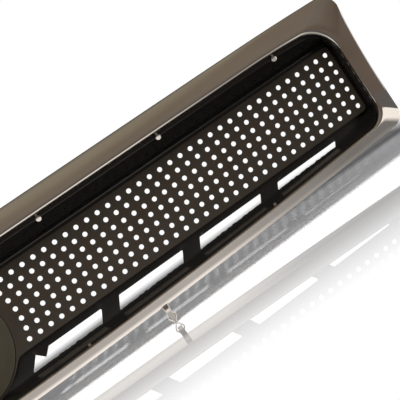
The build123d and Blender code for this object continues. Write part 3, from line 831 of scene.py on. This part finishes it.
panel = Skin()
for side in (-1, 1):
    for c in range(COLUMNS):
        for r in range(ROWS):
            holed_cell(panel, c, r, side)
border, near = grid_border()
rim_steps = [(inset * PANEL_EDGE, depth * PANEL_EDGE) for inset, depth in ROLLED]
rim_steps += [(0.0, PANEL_T - EDGE), (EDGE, PANEL_T)]
panel.hull([bowed(panel_rim(inset), depth) for inset, depth in rim_steps], closed=False)
for inset, depth in (rim_steps[0], rim_steps[-1]):
    for side in (-1, 1):
        rows = (border, rim_of(border, inset))
        panel.band(*[bowed(row * (side, 1), depth) for row in rows], closed=False)
    top_x, foot_x = border[0, 0], border[-1, 0]
    over = boss_rim(np.linspace(-top_x, top_x, 61), inset, 1)
    under = boss_rim(np.linspace(foot_x, -foot_x, 61), inset, -1)
    ring = np.vstack([over, near, under, near[::-1] * (-1, 1)])
    angle = np.arctan2(ring[:, 1] + MID_Z, ring[:, 0])
    seat_ring = np.column_stack([np.cos(angle), np.sin(angle)]) * SEAT_HOLE_R - (0, MID_Z)
    panel.band(bowed(ring, depth), bowed(seat_ring, depth))
panel.band(bowed(seat_ring, 0.0), bowed(seat_ring, PANEL_T))
panel_stud = [(AXIS, STUD_ROOT), (STUD_R, STUD_ROOT), (STUD_R, STUD_END - STUD_TAPER),
              (STUD_R - STUD_TAPER, STUD_END), (AXIS, STUD_END)]
for x, z in stud_places:
    panel.turned((x, FACE_Y + bow(x), z + MID_Z), panel_stud, 24)
panel_piece = panel.piece("perforated_panel")
flat_faces(panel_piece)


PANEL_BROWN = (0.0245, 0.0185, 0.0125)
PANEL_WORN = (0.030, 0.0225, 0.0155)
SATIN_DUST = (0.12, 0.11, 0.09)


def satin_finish(name, base, worn, grain):
    """Satin paint on a moulding: fine grain, soft mottling and a little settled dust."""
    made, tree, shader = finish_of(name)
    skin = placed(tree, MOULDED, Peel=grain, Sink=20.0)
    dust = placed(tree, DUST, Speck=1500.0, Amount=0.6)
    tone = two_tone(tree, skin["Shade"], base, worn)
    dusty = two_tone(tree, sum_of(tree, dust["Specks"], 0.3, "MULTIPLY"), tone, SATIN_DUST)
    tree.links.new(dusty, shader.inputs["Base Color"])
    rough = spread(tree, skin["Shade"], 0.0, 1.0, 0.4, 0.5)
    tree.links.new(rough, shader.inputs["Roughness"])
    relief(tree, shader, (skin["Sink height"], 0.1, 0.4), (skin["Peel height"], 0.3, 0.06))
    return made


panel_satin = satin_finish("panel_satin_paint", PANEL_BROWN, PANEL_WORN, 900.0)
finish(panel_piece, panel_satin, "panel_satin", "mesh_panel")


# ---------------------------------------------------------------- badge seat
# The blank disc at the centre is a separate satin moulding, dished to take a bonded badge, and
# held from behind by three studs and push nuts. No badge is fitted.
SEAT_FLAT_R = 54.0
SEAT_BACK = 1.2
SEAT_BACK_EDGE = 0.2
SEAT_RIM_R = SEAT_HOLE_R - 0.5
SEAT_ROUND = 0.7             # round on the rim's front edge
# the rise from the flat to the rim: radius, place along the grille's depth
SEAT_RISE = ((SEAT_FLAT_R - 1.5, 0.0), (SEAT_FLAT_R, -0.15), (56.5, -0.85),
             (59.0, FACE_Y + 0.25), (60.5, FACE_Y), (SEAT_RIM_R - SEAT_ROUND, FACE_Y))
SEAT_STUD_R = 2.0
SEAT_STUD_ROOT = 0.6
SEAT_STUD_END = 9.2
SEAT_OLIVE = (0.036, 0.031, 0.019)
SEAT_WORN = (0.044, 0.038, 0.024)


def seat_profile():
    """The disc's half section, as radius and depth: flat, rise to the rim, rim and back."""
    front = [(AXIS, 0.0), (20.0, 0.0), (40.0, 0.0)] + through(SEAT_RISE, 5)
    front += [(SEAT_RIM_R - SEAT_ROUND * (1 - sin(t)), FACE_Y + SEAT_ROUND * (1 - cos(t)))
              for t in np.radians([30, 60, 90])]
    return front + [(SEAT_RIM_R, SEAT_BACK - SEAT_BACK_EDGE),
                    (SEAT_RIM_R - SEAT_BACK_EDGE, SEAT_BACK), (AXIS, SEAT_BACK)]


seat = Skin()
seat.turned((0, 0, 0), seat_profile(), 160)
seat_stud = [(AXIS, SEAT_STUD_ROOT), (SEAT_STUD_R, SEAT_STUD_ROOT),
             (SEAT_STUD_R, SEAT_STUD_END - STUD_TAPER),
             (SEAT_STUD_R - STUD_TAPER, SEAT_STUD_END), (AXIS, SEAT_STUD_END)]
for x, z in seat_studs:
    seat.turned((x, 0, z), seat_stud, 24)
seat_piece = seat.piece("badge_disc")
seat_satin = satin_finish("seat_satin_paint", SEAT_OLIVE, SEAT_WORN, 1100.0)
finish(seat_piece, seat_satin, "seat_satin", "badge_seat")


# ---------------------------------------------------------------- screws and push nuts
# Zinc plated cross-head screws hold the tray to the shell's bosses. Domed push nuts of phosphated
# spring steel are pressed over the studs of the panel and of the badge disc.
def steel_marks():
    """Rolled or turned steel: cloudy plate, fine tool lines and small stains."""
    tree, given, result = effect("steel_marks", {"Cloud": 160.0, "Tool": 2200.0},
                                 ("Clouds", "Tool height", "Stains"))
    point = fill(tree, "ShaderNodeTexCoord").outputs["Object"]
    drawn = fill(tree, "ShaderNodeMapping", {"Vector": point, "Scale": (1.0, 0.15, 1.0)})
    clouds = spread(tree, noise(tree, point, given.outputs["Cloud"], 4.0, 0.6), 0.3, 0.7)
    tool = noise(tree, drawn.outputs[0], given.outputs["Tool"], 2.0)
    stains = spread(tree, noise(tree, point, 420.0, 3.0, 0.7), 0.6, 0.72)
    for word, value in (("Clouds", clouds), ("Tool height", tool), ("Stains", stains)):
        tree.links.new(value, result.inputs[word])
    return tree


STEEL = steel_marks()


def steel_finish(name, bright, dull, stain, low_rough, high_rough):
    """Steel between a bright and a dull tone, with small stains and fine tool lines."""
    made, tree, shader = finish_of(name)
    marks = placed(tree, STEEL, Cloud=160.0, Tool=2200.0)
    tone = two_tone(tree, marks["Clouds"], bright, dull)
    spots = two_tone(tree, sum_of(tree, marks["Stains"], 0.5, "MULTIPLY"), tone, stain)
    tree.links.new(spots, shader.inputs["Base Color"])
    shader.inputs["Metallic"].default_value = 1.0
    rough = spread(tree, marks["Clouds"], 0.0, 1.0, low_rough, high_rough)
    tree.links.new(rough, shader.inputs["Roughness"])
    relief(tree, shader, (marks["Tool height"], 0.25, 0.03))
    return made


def dress(material, *names):
    """Gives CAD nodes a finish through their objects' own material slots."""
    for name in names:
        for place in nodes[name].material_slots:
            place.link = "OBJECT"
            place.material = material


zinc = steel_finish("zinc_plate", (0.66, 0.66, 0.64), (0.52, 0.51, 0.46), (0.36, 0.31, 0.2),
                    0.24, 0.42)
dress(zinc, "tray_screws_top", "tray_screws_foot", "tray_screws_ends")
phosphate = steel_finish("phosphated_steel", (0.17, 0.165, 0.16), (0.10, 0.098, 0.097),
                         (0.2, 0.12, 0.07), 0.35, 0.55)
dress(phosphate, "panel_push_nuts_top", "panel_push_nuts_foot", "badge_push_nuts")


# ---------------------------------------------------------------- ear sleeves
# Each mounting ear is lined with a turned steel sleeve, which takes the fixing's clamp load in
# place of the plastic. The sleeves are zinc plated and pressed in from above.
turned_zinc = steel_finish("turned_sleeve", (0.64, 0.635, 0.61), (0.55, 0.54, 0.5),
                           (0.4, 0.34, 0.24), 0.2, 0.34)
dress(turned_zinc, "ear_sleeves_left", "ear_sleeves_right")


# ---------------------------------------------------------------- spring clips
# The lower edge is held by two arrow-shaped clips of bent bright strip, pushed up over tabs on
# the shell. Each leg bulges into a barb and has a window over it.
CLIP_DEPTH = -6.0            # the strip's middle, from the panel's front face
CLIP_GAP = 0.4               # between the rim's foot and the legs' ends
STRIP_T = 0.6
STRIP_HALF = 3.6
STRIP_EDGE = 0.12
STRIP_WINDOW = (8.9, 15.0)   # foot and top of the window in each leg, over the tip
STRIP_WINDOW_HALF = 1.5
STRIP_SHARP = 1.0            # edges that turn by more radians than this are rounded
TIP_OVER = 0.02              # the fold stays this far over the clip's lowest point
LEG_TOP_X = 2.9
# one leg's middle line from the tip up, as x and height over the tip
LEG = ((0.35, 0.45), (1.5, 1.7), (3.2, 4.2), (4.35, 6.2), (4.5, 7.4), (3.3, 8.8), (2.5, 10.4),
       (2.3, 13.0), (2.5, 15.6))


def spring_clip(side):
    """A strip folded at its tip, thick, with a window in each leg."""
    x = side * CLIP_X
    y = FACE_Y + bow(x) + CLIP_DEPTH
    top = foot_at(OUTER, x) + MID_Z - CLIP_GAP - CLIP_TIP
    leg = np.array(through(LEG + ((LEG_TOP_X, top),), 5))
    path = np.vstack([leg[::-1] * (-1, 1), leg])
    step = np.gradient(path, axis=0)
    out = np.column_stack([step[:, 1], -step[:, 0]]) / np.linalg.norm(step, axis=1)[:, None]
    across = (-STRIP_HALF, -STRIP_WINDOW_HALF, STRIP_WINDOW_HALF, STRIP_HALF)
    foot, head = STRIP_WINDOW
    bm = bmesh.new()

    def point(i, j, face):
        px, pz = path[i] + out[i] * face * STRIP_T / 2
        return (x + px, y + across[j], CLIP_TIP + max(pz, TIP_OVER))

    grid = {(i, j, f): bm.verts.new(point(i, j, f))
            for i in range(len(path)) for j in range(4) for f in (-1, 1)}
    solid = {(i, j): not (j == 1 and foot < path[i][1] < head)
             for i in range(len(path) - 1) for j in range(3)}

    def held(i, j):
        return solid.get((i, j), False)

    for (i, j), there in solid.items():
        if not there:
            continue
        a, b, c, d = (i, j), (i + 1, j), (i + 1, j + 1), (i, j + 1)
        bm.faces.new([grid[(*p, 1)] for p in (a, b, c, d)])
        bm.faces.new([grid[(*p, -1)] for p in (d, c, b, a)])
        beside = ((i, j - 1), (i + 1, j), (i, j + 1), (i - 1, j))
        for p, q, neighbour in zip((a, b, c, d), (b, c, d, a), beside):
            if not held(*neighbour):
                bm.faces.new([grid[(*p, 1)], grid[(*p, -1)], grid[(*q, -1)], grid[(*q, 1)]])
    bmesh.ops.delete(bm, geom=[v for v in bm.verts if not v.link_faces], context="VERTS")
    bmesh.ops.recalc_face_normals(bm, faces=bm.faces)
    sharp = [e for e in bm.edges if len(e.link_faces) == 2 and e.calc_face_angle() > STRIP_SHARP]
    bmesh.ops.bevel(bm, geom=sharp, offset=STRIP_EDGE, segments=2, affect="EDGES", profile=0.5)
    bm.verts.index_update()
    skin = Skin()
    skin.add([v.co for v in bm.verts], [[v.index for v in f.verts] for f in bm.faces])
    bm.free()
    return skin


bright_strip = steel_finish("bright_strip", (0.8, 0.79, 0.77), (0.66, 0.64, 0.61),
                            (0.45, 0.4, 0.33), 0.12, 0.25)
for word, side in (("left", -1), ("right", 1)):
    clip = spring_clip(side).piece("arrow_clip_" + word)
    finish(clip, bright_strip, "clip_steel", "spring_clip_" + word)


# ---------------------------------------------------------------- studio floor
# A pale glossy sheet under the clips' tips carries the grille's shadow, and a mirror image that
# fades out towards the front. Its brightness to the eye is painted by place: painted light that
# rises towards the grille and under it, and a painted shadow that reaches further back behind it.
# Bright metal sees a painted glow in its place, dim under the grille and bright beside it. It
# belongs to the studio and not to the part. Places are in metres.
STAGE_HALF = 1.2
STAGE_FRONT = -0.6
STAGE_BACK = 1.6
SHEET_END = 0.72             # where the sheet ends beside the grille, as bright metal mirrors it
BOW_IN_FLOOR = 0.094         # the line under the grille bows by this times x squared
# the edge of the painted shadow behind the grille slants back to the sides by the value below
PAINTED_SHADOW_SLANT = 0.12                 # the sheet's shade slants back to the sides by this
SHEET = 0.8                  # plain shade of the sheet, as it lights the grille
WARM = (1.0, 0.93, 0.87)     # tint of the sheet as bright metal mirrors it
# ramps along x or y: from, to and the values there (0 and 1 where none are given)
# painted light and shade to the eye: painted light before the grille that rises towards it, more
# painted light added under it, and a painted shadow further back, which is dark and then painted
# bright, with the places where it starts and how wide it is
NEAR_PAINTED_LIGHT = (-0.1, -0.06, 0.93, 1.2)
UNDER_PAINTED_LIGHT = (-0.035, -0.01, 0.0, 0.4)
BACK_PAINTED_SHADOW = (0.285, 0.365, 0.4, 2.0)
PAINTED_SHADOW_FROM = (0.13, 0.16)
PAINTED_SHADOW_WIDE = (0.56, 0.6, 1.0, 0.0)
# the sheet runs out into plain white at the back, the sides and the front
WHITE_BACK = (0.37, 0.43)
WHITE_SIDE = (0.62, 0.7)
WHITE_FRONT = (-0.36, -0.28, 1.0, 0.0)
# strength of the mirror image, in steps from the front to the grille, and its end under it
MIRROR_STEPS = ((-0.30, -0.16, 0.0, 0.35), (-0.16, -0.10, 0.0, 0.27), (-0.085, -0.065, 0.0, 0.2))
MIRROR_END = (-0.011, -0.003, 1.0, 0.0)
# painted brightness that bright metal sees in place of the lit sheet: before the grille, painted
# shade under it, and behind it, and the edges between them
METAL_FRONT = (0.3, 0.42, 1.1, 0.5)
METAL_FRONT_EDGE = (-0.082, -0.066)
METAL_UNDER = (0.24, 0.45, 0.6, 0.25)
METAL_UNDER_EDGE = (-0.018, -0.013)
METAL_BEHIND = (0.25, 0.36, 1.3, 0.55)
METAL_BEHIND_END = (0.36, 0.46)
METAL_BEHIND_DIM = 0.32
# then painted zones further out, each over those before it: along x or y, its ramp, its brightness
PAINTED_METAL_ZONES = (("x", (0.535, 0.565), 1.35), ("y", (-0.2, -0.26), 0.12), ("y", (0.45, 0.55), 0.12),
               ("x", (SHEET_END - 0.01, SHEET_END), 0.15))
SECOND_MIRROR = (1.0, 2.0, 1.0, 0.55)   # dimming after one and after two mirrors


def blend(tree, share, a, b):
    """A number between two, each a number or an output, by a mask."""
    return fill(tree, "ShaderNodeMix", {0: share, 2: a, 3: b}, data_type="FLOAT").outputs[0]


def grey(tree, value, tint=(1.0, 1.0, 1.0)):
    """A colour from a brightness and a tint."""
    parts = {i: sum_of(tree, value, part, "MULTIPLY") for i, part in enumerate(tint)}
    return fill(tree, "ShaderNodeCombineColor", parts).outputs[0]


def bow_line(tree, x, y):
    """y from the line on the floor that follows the grille's bow."""
    swept = sum_of(tree, sum_of(tree, x, 2.0, "POWER"), BOW_IN_FLOOR, "MULTIPLY")
    return sum_of(tree, y, swept, "SUBTRACT")


def seen_in_metal(tree, path):
    """1 for a ray from bright metal, 0 for one that has lit a dull surface on its way."""
    return sum_of(tree, path["Is Glossy Ray"], path["Diffuse Depth"], "SUBTRACT")


def painted_sheet_in_metal(tree, x, y):
    """Painted glow for metal: painted shade under the grille, bright about it, dark further out."""
    behind = blend(tree, spread(tree, x, *METAL_BEHIND_END), spread(tree, x, *METAL_BEHIND),
                   METAL_BEHIND_DIM)
    near = blend(tree, spread(tree, bow_line(tree, x, y), *METAL_UNDER_EDGE),
                 spread(tree, x, *METAL_UNDER), behind)
    level = blend(tree, spread(tree, y, *METAL_FRONT_EDGE), spread(tree, x, *METAL_FRONT), near)
    for axis, ramp, brightness in PAINTED_METAL_ZONES:
        level = blend(tree, spread(tree, x if axis == "x" else y, *ramp), level, brightness)
    return level


def sheet_painted_shade(tree, x, y, camera):
    """The sheet's colour: to the eye with painted light and a painted shadow, or plain as it lights.
    """
    slant = sum_of(tree, y, sum_of(tree, x, PAINTED_SHADOW_SLANT, "MULTIPLY"), "SUBTRACT")
    # where the painted shadow lies: behind the grille and short of its ends
    back = sum_of(tree, spread(tree, y, *PAINTED_SHADOW_FROM), spread(tree, x, *PAINTED_SHADOW_WIDE), "MULTIPLY")
    # painted light before the grille and under it
    near = sum_of(tree, spread(tree, y, *NEAR_PAINTED_LIGHT), spread(tree, y, *UNDER_PAINTED_LIGHT))
    return blend(tree, camera, SHEET, blend(tree, back, near, spread(tree, slant, *BACK_PAINTED_SHADOW)))


def white_share(tree, x, y):
    """1 where the sheet has run out into plain white."""
    share = sum_of(tree, spread(tree, y, *WHITE_BACK), spread(tree, x, *WHITE_SIDE), "MAXIMUM")
    return sum_of(tree, share, spread(tree, y, *WHITE_FRONT), "MAXIMUM")


def mirror_share(tree, x, y):
    """How strongly the sheet mirrors the grille."""
    share = 0.0
    for ramp in MIRROR_STEPS:
        share = sum_of(tree, share, spread(tree, y, *ramp))
    return sum_of(tree, share, spread(tree, bow_line(tree, x, y), *MIRROR_END), "MULTIPLY")


def pale_sheet():
    """The floor: painted shade to the eye, a painted glow in metal, plain as it lights the grille."""
    made, tree, _ = finish_of("pale_sheet")
    tree.nodes.clear()
    where = fill(tree, "ShaderNodeNewGeometry").outputs["Position"]
    place = fill(tree, "ShaderNodeSeparateXYZ", {0: where}).outputs
    x, y = sum_of(tree, place["X"], 0.0, "ABSOLUTE"), place["Y"]
    path = fill(tree, "ShaderNodeLightPath").outputs
    camera = path["Is Camera Ray"]
    # the sheet's colour to the eye, with painted light and a painted shadow
    shade = grey(tree, sheet_painted_shade(tree, x, y, camera))
    sheet = fill(tree, "ShaderNodeBsdfDiffuse", {"Color": shade})
    white = fill(tree, "ShaderNodeEmission", {"Strength": 1.0})
    far = sum_of(tree, white_share(tree, x, y), camera, "MULTIPLY")
    ground = fill(tree, "ShaderNodeMixShader", {0: far, 1: sheet.outputs[0], 2: white.outputs[0]})
    mirror = fill(tree, "ShaderNodeBsdfGlossy", {"Color": (1.0, 1.0, 1.0, 1.0), "Roughness": 0.0})
    share = sum_of(tree, mirror_share(tree, x, y), camera, "MULTIPLY")
    seen = fill(tree, "ShaderNodeMixShader", {0: share, 1: ground.outputs[0], 2: mirror.outputs[0]})
    # the painted glow that bright metal sees in place of the lit sheet, dimmer after a second mirror
    dimmer = spread(tree, path["Glossy Depth"], *SECOND_MIRROR)
    level = sum_of(tree, painted_sheet_in_metal(tree, x, y), dimmer, "MULTIPLY")
    painted_glow = fill(tree, "ShaderNodeEmission", {"Color": grey(tree, level, WARM)})
    whole = fill(tree, "ShaderNodeMixShader",
                 {0: seen_in_metal(tree, path), 1: seen.outputs[0], 2: painted_glow.outputs[0]})
    fill(tree, "ShaderNodeOutputMaterial", {0: whole.outputs[0]})
    return made


corners = [(-STAGE_HALF, STAGE_FRONT), (STAGE_HALF, STAGE_FRONT), (STAGE_HALF, STAGE_BACK),
           (-STAGE_HALF, STAGE_BACK)]
floor_mesh = bpy.data.meshes.new("pale_floor")
floor_mesh.from_pydata([(x, y, CLIP_TIP * MM) for x, y in corners], [], [(0, 1, 2, 3)])
floor_mesh.materials.append(pale_sheet())
floor = bpy.data.objects.new("pale_floor", floor_mesh)
bpy.context.scene.collection.objects.link(floor)


# ---------------------------------------------------------------- studio light
# One narrow, tall lamp stands in front of the grille, well above it, and an even, dim room gives
# the rest. Bright metal sees a warm, dark room, with white low down behind the grille.
WHITE = (1.0, 1.0, 1.0)
ROOM_LIGHT = (0.2, 0.2, 0.205)
BACK_WALL = (0.11, 0.092, 0.072)
# the room that bright metal sees: height of the view from level (0) to overhead (1), colour
ROOM = ((0.0, (0.168, 0.130, 0.104)), (0.12, (0.142, 0.107, 0.082)),
        (0.30, (0.180, 0.136, 0.104)), (0.42, (0.205, 0.168, 0.135)),
        (0.70, (0.228, 0.184, 0.148)), (0.885, (0.226, 0.182, 0.138)),
        (0.918, (0.297, 0.245, 0.180)), (0.953, (0.325, 0.280, 0.209)),
        (0.975, (0.270, 0.228, 0.178)), (1.0, (0.255, 0.215, 0.170)))
# ramps by direction: from, to and the values there
BEHIND = (0.2, 0.3)          # along y
LOW = (0.03, 0.08, 1.0, 0.0)   # along z
NOT_LEFT = (-0.3, -0.22)     # along x


def room_colour(tree, height):
    """The warm room, by the height of the view."""
    room = fill(tree, "ShaderNodeValToRGB", {0: height})
    ramp = room.color_ramp
    while len(ramp.elements) < len(ROOM):
        ramp.elements.new(0.5)
    for element, (place, colour) in zip(ramp.elements, ROOM):
        element.position = place
        element.color = (*colour, 1.0)
    return room.outputs[0]


def studio_world():
    """White to the eye, an even light on the grille, and a warm room in bright metal."""
    world = bpy.data.worlds.new("studio")
    world.use_nodes = True
    bpy.context.scene.world = world
    tree = world.node_tree
    tree.nodes.clear()
    path = fill(tree, "ShaderNodeLightPath").outputs
    way = fill(tree, "ShaderNodeTexCoord").outputs["Generated"]
    part = fill(tree, "ShaderNodeSeparateXYZ", {0: way}).outputs
    behind = spread(tree, part["Y"], *BEHIND)
    low = sum_of(tree, spread(tree, part["Z"], *LOW), spread(tree, part["X"], *NOT_LEFT), "MULTIPLY")
    # a perfect mirror, such as the sheet, sees white at every height
    low = sum_of(tree, low, path["Is Singular Ray"], "MAXIMUM")
    wall = two_tone(tree, behind, room_colour(tree, part["Z"]), BACK_WALL)
    in_metal = two_tone(tree, sum_of(tree, behind, low, "MULTIPLY"), wall, WHITE)
    plain = two_tone(tree, path["Is Camera Ray"], ROOM_LIGHT, WHITE)
    chosen = two_tone(tree, seen_in_metal(tree, path), plain, in_metal)
    light = fill(tree, "ShaderNodeBackground", {"Color": chosen, "Strength": 1.0})
    fill(tree, "ShaderNodeOutputWorld", {0: light.outputs[0]})


def front_lamp(place, aim, wide, tall, power):
    """A tall lamp that lights the grille and throws its shadow, but is in no mirror image."""
    lamp = bpy.data.lights.new("front_lamp", "AREA")
    lamp.shape, lamp.size, lamp.size_y, lamp.energy = "RECTANGLE", wide, tall, power
    made = bpy.data.objects.new("front_lamp", lamp)
    made.location = place
    made.rotation_euler = (Vector(aim) - Vector(place)).to_track_quat("-Z", "Y").to_euler()
    made.visible_glossy = False
    bpy.context.scene.collection.objects.link(made)


studio_world()
front_lamp(place=(0.14, -0.60, 0.78), aim=(0.20, 0.0, -0.03), wide=0.04, tall=0.42, power=11.5)


# ---------------------------------------------------------------- camera
# The camera stands close in front of the right half, a little above it, and is rolled so that
# the grille climbs across the picture.
def studio_camera(place, azimuth, elevation, roll, lens):
    """A camera at a place in metres, turned by angles in degrees, with a lens in millimetres."""
    data = bpy.data.cameras.new("camera")
    data.lens, data.sensor_width = lens, 36.0
    camera = bpy.data.objects.new("camera", data)
    a, e, turn = radians(azimuth), radians(elevation), radians(roll)
    ahead = Vector((sin(a) * cos(e), cos(a) * cos(e), sin(e)))
    level = Vector((cos(a), -sin(a), 0.0))
    upright = level.cross(ahead)
    right = level * cos(turn) + upright * sin(turn)
    up = upright * cos(turn) - level * sin(turn)
    turned = Matrix((right, up, -ahead)).transposed().to_4x4()
    camera.matrix_world = Matrix.Translation(place) @ turned
    bpy.context.scene.collection.objects.link(camera)
    bpy.context.scene.camera = camera


studio_camera(place=Vector((218.6, -689.7, 42.3)) * MM, azimuth=5.43, elevation=-4.59, roll=-34.5,
              lens=63.0)
bpy.context.scene.view_settings.view_transform = "Standard"
